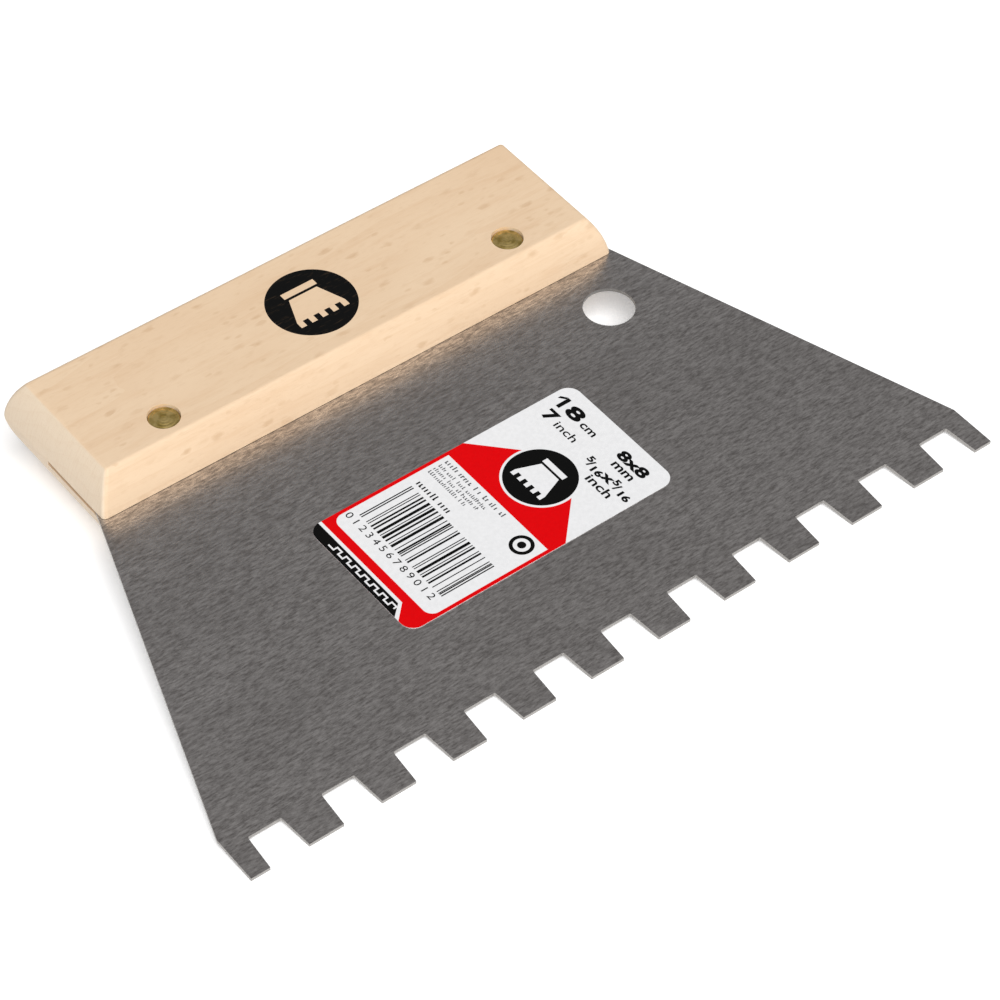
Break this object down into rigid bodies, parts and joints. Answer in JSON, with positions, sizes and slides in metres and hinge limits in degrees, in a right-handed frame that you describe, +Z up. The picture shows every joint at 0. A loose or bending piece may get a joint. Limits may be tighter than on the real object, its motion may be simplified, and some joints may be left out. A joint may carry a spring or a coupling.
{
  "type": "notched trowel",
  "caption": "Flat steel trowel blade with square notches along its wide edge, held in the kerf of a wooden block handle by brass rivets.",
  "frame": {"origin": "middle of the trowel's footprint as it lies label up on a table, at table height", "axes": "+X along the row of teeth and the handle, +Y from the teeth towards the handle, +Z up; it rests on its tooth tips and the handle's lower front edge, so the blade rises 5.6 degrees towards the handle"},
  "size_m": [0.18, 0.1242, 0.0217],
  "materials": {
    "blade_steel": "cold-rolled, fine streaks along the row of teeth, semi-gloss",
    "handle_wood": "sanded beech, no varnish",
    "label_film": "glossy printed film",
    "rivet_brass": "turned, dulled"
  },
  "bodies": {
    "root": {"blade": "blade_steel", "handle": "handle_wood", "label": "label_film", "rivet_pin_left": "rivet_brass", "rivet_pin_right": "rivet_brass", "rivet_tube_left": "rivet_brass", "rivet_tube_right": "rivet_brass"}
  },
  "joints": []
}
